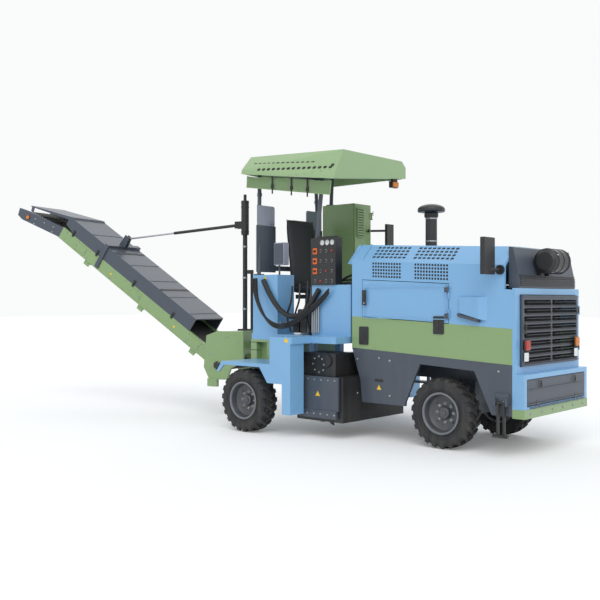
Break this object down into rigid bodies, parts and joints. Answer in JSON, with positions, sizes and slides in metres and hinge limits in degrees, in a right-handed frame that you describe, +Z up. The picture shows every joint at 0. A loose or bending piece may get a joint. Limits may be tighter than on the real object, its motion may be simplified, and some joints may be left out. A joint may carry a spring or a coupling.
{
  "type": "cold planer milling machine",
  "caption": "Compact wheeled cold planer: milling drum under the rear, operator platform with a canopy, engine hood in front and a swinging discharge conveyor behind.",
  "frame": {"origin": "bottom centre of the bounding box, on the ground under the wheels", "axes": "+X forward towards the engine end, +Y to the left, +Z up"},
  "size_m": [7.861, 2.6036, 3.202],
  "materials": {
    "belt": "black belt rubber",
    "black": "black enamel",
    "blue": "light blue machine enamel",
    "curtain": "green coated canvas",
    "fabric": "black seat cover",
    "green": "sage green machine enamel",
    "iron": "dark cast iron",
    "rim": "grey wheel enamel",
    "rubber": "black rubber",
    "slate": "dark slate grey enamel",
    "steel": "bright drawn steel"
  },
  "bodies": {
    "chassis": {"access_steps": "slate", "air_cleaner": "black", "bumper_strip": "green", "cabinet_mirror": "black", "canopy_frame": "slate", "canopy_roof": "green", "control_cabinet": "green", "drum_drive": "black", "drum_housing": "black", "engine_block": "iron", "front_axle": "slate", "front_mirror_left": "black", "front_mirror_right": "black", "green_band": "green", "hood": "blue", "hose_loop": "rubber", "instrument_panel": "black", "intake_stack": "black", "main_frame": "slate", "nose_cap": "slate", "nose_frame": "blue", "operator_deck": "blue", "rear_box": "green", "seat": "fabric", "seat_pedestal": "black", "side_curtain": "curtain", "skirt": "slate", "steering_column": "slate"},
    "knuckle_right": {"knuckle_right": "iron"},
    "knuckle_left": {"knuckle_left": "iron"},
    "wheel_front_right": {"tyre_front_right": "rubber", "rim_front_right": "rim"},
    "wheel_front_left": {"tyre_front_left": "rubber", "rim_front_left": "rim"},
    "wheel_rear_right": {"tyre_rear_right": "rubber", "rim_rear_right": "rim"},
    "wheel_rear_left": {"tyre_rear_left": "rubber", "rim_rear_left": "rim"},
    "milling_drum": {"milling_drum": "iron"},
    "side_plate_right": {"side_plate_right": "slate"},
    "side_plate_left": {"side_plate_left": "slate"},
    "scraper_gate": {"scraper_gate": "slate"},
    "engine_door_right": {"engine_door_right": "blue"},
    "engine_door_left": {"engine_door_left": "blue"},
    "grille_door": {"grille_door": "slate"},
    "tool_box_lid": {"tool_box_lid": "slate"},
    "cabinet_door": {"cabinet_door": "green"},
    "folding_step": {"folding_step": "iron"},
    "steering_wheel": {"steering_wheel": "black"},
    "conveyor_yoke": {"conveyor_yoke": "green", "conveyor_mast": "black"},
    "conveyor": {"conveyor_frame": "green", "conveyor_head": "slate", "conveyor_belt": "belt", "conveyor_cover": "slate"},
    "stay_barrel": {"stay_barrel": "black"},
    "stay_rod": {"stay_rod": "steel"}
  },
  "joints": [
    {"name": "steer_front_right", "type": "hinge", "parent": "chassis", "child": "knuckle_right", "pos_m": [2.90748, -0.33322, 0.35], "axis": [0, 0, 1], "range_deg": [-25, 25]},
    {"name": "steer_front_left", "type": "hinge", "parent": "chassis", "child": "knuckle_left", "pos_m": [2.90748, 0.50678, 0.35], "axis": [0, 0, 1], "range_deg": [-25, 25]},
    {"name": "wheel_front_right_spin", "type": "hinge", "parent": "knuckle_right", "child": "wheel_front_right", "pos_m": [2.90748, -0.48722, 0.35], "axis": [0, 1, 0], "continuous": true},
    {"name": "wheel_rear_right_spin", "type": "hinge", "parent": "chassis", "child": "wheel_rear_right", "pos_m": [0.67948, -1.01122, 0.35], "axis": [0, 1, 0], "continuous": true},
    {"name": "wheel_front_left_spin", "type": "hinge", "parent": "knuckle_left", "child": "wheel_front_left", "pos_m": [2.90748, 0.66078, 0.35], "axis": [0, 1, 0], "continuous": true},
    {"name": "wheel_rear_left_spin", "type": "hinge", "parent": "chassis", "child": "wheel_rear_left", "pos_m": [0.67948, 1.18478, 0.35], "axis": [0, 1, 0], "continuous": true},
    {"name": "drum_spin", "type": "hinge", "parent": "chassis", "child": "milling_drum", "pos_m": [1.56748, 0.08678, 0.36], "axis": [0, 1, 0], "continuous": true},
    {"name": "side_plate_right_lift", "type": "slide", "parent": "chassis", "child": "side_plate_right", "axis": [0, 0, 1], "range_m": [0, 0.15]},
    {"name": "side_plate_left_lift", "type": "slide", "parent": "chassis", "child": "side_plate_left", "axis": [0, 0, 1], "range_m": [0, 0.15]},
    {"name": "scraper_gate_swing", "type": "hinge", "parent": "chassis", "child": "scraper_gate", "pos_m": [1.23748, 0.08678, 0.49], "axis": [0, 1, 0], "range_deg": [0, 60]},
    {"name": "engine_door_right_swing", "type": "hinge", "parent": "chassis", "child": "engine_door_right", "pos_m": [3.01848, -0.60622, 1.3], "axis": [0, 0, 1], "range_deg": [0, 95]},
    {"name": "engine_door_left_swing", "type": "hinge", "parent": "chassis", "child": "engine_door_left", "pos_m": [3.01848, 0.77978, 1.3], "axis": [0, 0, 1], "range_deg": [-95, 0]},
    {"name": "grille_door_swing", "type": "hinge", "parent": "chassis", "child": "grille_door", "pos_m": [3.75548, 0.69978, 1.18], "axis": [0, 0, 1], "range_deg": [0, 100]},
    {"name": "tool_box_lid_swing", "type": "hinge", "parent": "chassis", "child": "tool_box_lid", "pos_m": [3.81548, 0.08678, 0.475], "axis": [0, 1, 0], "range_deg": [0, 90]},
    {"name": "cabinet_door_swing", "type": "hinge", "parent": "chassis", "child": "cabinet_door", "pos_m": [0.97048, 0.87478, 2.33], "axis": [0, 0, 1], "range_deg": [0, 100]},
    {"name": "folding_step_fold", "type": "hinge", "parent": "chassis", "child": "folding_step", "pos_m": [3.59248, -0.63222, 0.515], "axis": [1, 0, 0], "range_deg": [-100, 0]},
    {"name": "steering_column_spin", "type": "hinge", "parent": "chassis", "child": "steering_wheel", "pos_m": [1.33718, 0.08678, 1.6807], "axis": [-0.3746, 0, 0.9272], "continuous": true},
    {"name": "conveyor_slew", "type": "hinge", "parent": "chassis", "child": "conveyor_yoke", "pos_m": [0.14748, 0.08678, 1], "axis": [0, 0, 1], "range_deg": [-60, 30]},
    {"name": "conveyor_luff", "type": "hinge", "parent": "conveyor_yoke", "child": "conveyor", "pos_m": [-0.52867, -0.09439, 0.647], "axis": [0.2588, -0.9659, 0], "range_deg": [-4, 24]},
    {"name": "stay_pivot", "type": "hinge", "parent": "conveyor_yoke", "child": "stay_barrel", "pos_m": [-0.45622, -0.07498, 2.43], "axis": [0.2588, -0.9659, 0], "range_deg": [-4.5, 20]},
    {"name": "stay_rod_slide", "type": "slide", "parent": "stay_barrel", "child": "stay_rod", "axis": [-0.9638, -0.2582, -0.0666], "range_m": [-0.125, 0.72]}
  ],
  "couplings": [
    {"joint": "steer_front_left", "follows": "steer_front_right", "ratio": 1},
    {"joint": "stay_pivot", "follows": "conveyor_luff", "ratio": 0.779},
    {"joint": "stay_rod_slide", "follows": "conveyor_luff", "m_per_rad": 1.708}
  ]
}
